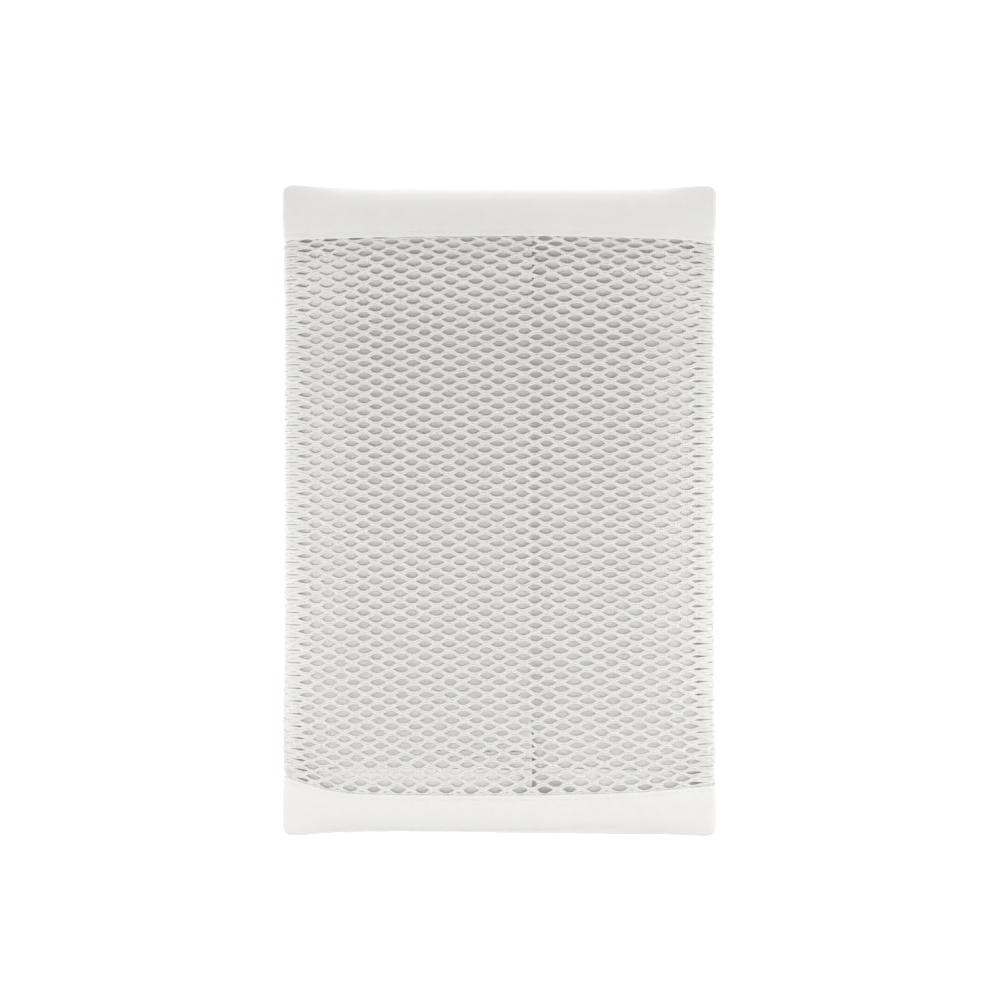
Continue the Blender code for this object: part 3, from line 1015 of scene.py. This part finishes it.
def soft_light(lamp):
    """A round lamp that shines at the packet and isn't seen itself."""
    light = bpy.data.lights.new(lamp.name, "AREA")
    light.shape = "DISK"
    light.size = lamp.size
    light.energy = lamp.power
    holder = bpy.data.objects.new(lamp.name, light)
    holder.visible_camera = False
    holder.location = lamp.place
    aim = Vector() - Vector(lamp.place)
    holder.rotation_euler = aim.to_track_quat("-Z", "Y").to_euler()
    bpy.context.scene.collection.objects.link(holder)


def white_room():
    """Light from all round, stronger from above."""
    world = bpy.data.worlds.new("white_room")
    world.use_nodes = True
    tree = world.node_tree
    way = add(tree, "ShaderNodeTexCoord").outputs["Generated"]
    height = add(tree, "ShaderNodeSeparateXYZ", links={0: way}).outputs["Z"]
    levels = {"From Min": 0.0, "From Max": 1.0, "To Min": HORIZON_LIGHT, "To Max": ZENITH_LIGHT}
    strength = add(tree, "ShaderNodeMapRange", levels, {"Value": height}).outputs[0]
    background = tree.nodes["Background"]
    set_inputs(background, {"Color": (1.0, 1.0, 1.0, 1.0)})
    tree.links.new(strength, background.inputs["Strength"])
    bpy.context.scene.world = world


def camera_above():
    """A camera straight above the packet, framed as the photograph."""
    camera = bpy.data.cameras.new("camera")
    camera.sensor_width = SENSOR_WIDTH
    camera.lens = SENSOR_WIDTH * CAMERA_DISTANCE / (PICTURE_SIDE * PIXEL)
    middle_x, middle_y = PACKET_MIDDLE_PIXEL
    holder = bpy.data.objects.new("camera", camera)
    holder.location = (
        (PICTURE_SIDE / 2 - middle_x) * PIXEL,
        (middle_y - PICTURE_SIDE / 2) * PIXEL,
        FACE_HEIGHT + CAMERA_DISTANCE,
    )
    bpy.context.scene.collection.objects.link(holder)
    bpy.context.scene.camera = holder


def nets(finish):
    """The net, in the pieces that its length is made in. They meet in the middle of folds."""
    turns = [(LENGTHS[2 * layer + 1] + LENGTHS[2 * layer + 2]) / 2 for layer in range(TUCK_LAYER)]
    middle_row = ROPE_COUNT // 2
    last_row = ROPE_COUNT - 1
    pieces = [
        rope_net("net_back", 0.0, turns[0], rings=BACK_RINGS, hole_height=HOLE_HEIGHT, flat=False),
        rope_net("net_low_layers", turns[0], turns[4], unseen=True),
        rope_net("net_middle_layers", turns[4], turns[9], unseen=True),
        rope_net("net_high_layers", turns[9], turns[13], unseen=True),
        rope_net("net_upper_layers", turns[13], turns[16]),
        yarn_net("net_face_lower", turns[16], turns[17], 0, middle_row),
        yarn_net("net_face_upper", turns[16], turns[17], middle_row, last_row),
        rope_net("net_tucked_end", turns[17], PANEL_LENGTH),
    ]
    for piece in pieces:
        piece.data.materials.append(finish)


def bindings(tricot, thread):
    """The two tapes, each with its stitches."""
    for name, node, side in (("upper", "upper_binding", 1), ("lower", "lower_binding", -1)):
        tape = tape_piece(name + "_tape", node, side)
        tape.data.materials.append(tricot)
        stitching = stitching_piece(name + "_stitching", side)
        stitching.data.materials.append(thread)


def main():
    yarn = knit_yarn()
    tricot = brushed_tricot()
    thread = sewing_thread()
    nets(yarn)
    bindings(tricot, thread)
    table(white_table())
    white_room()
    for lamp in LAMPS:
        soft_light(lamp)
    bpy.context.scene.view_settings.view_transform = "Standard"
    camera_above()


main()
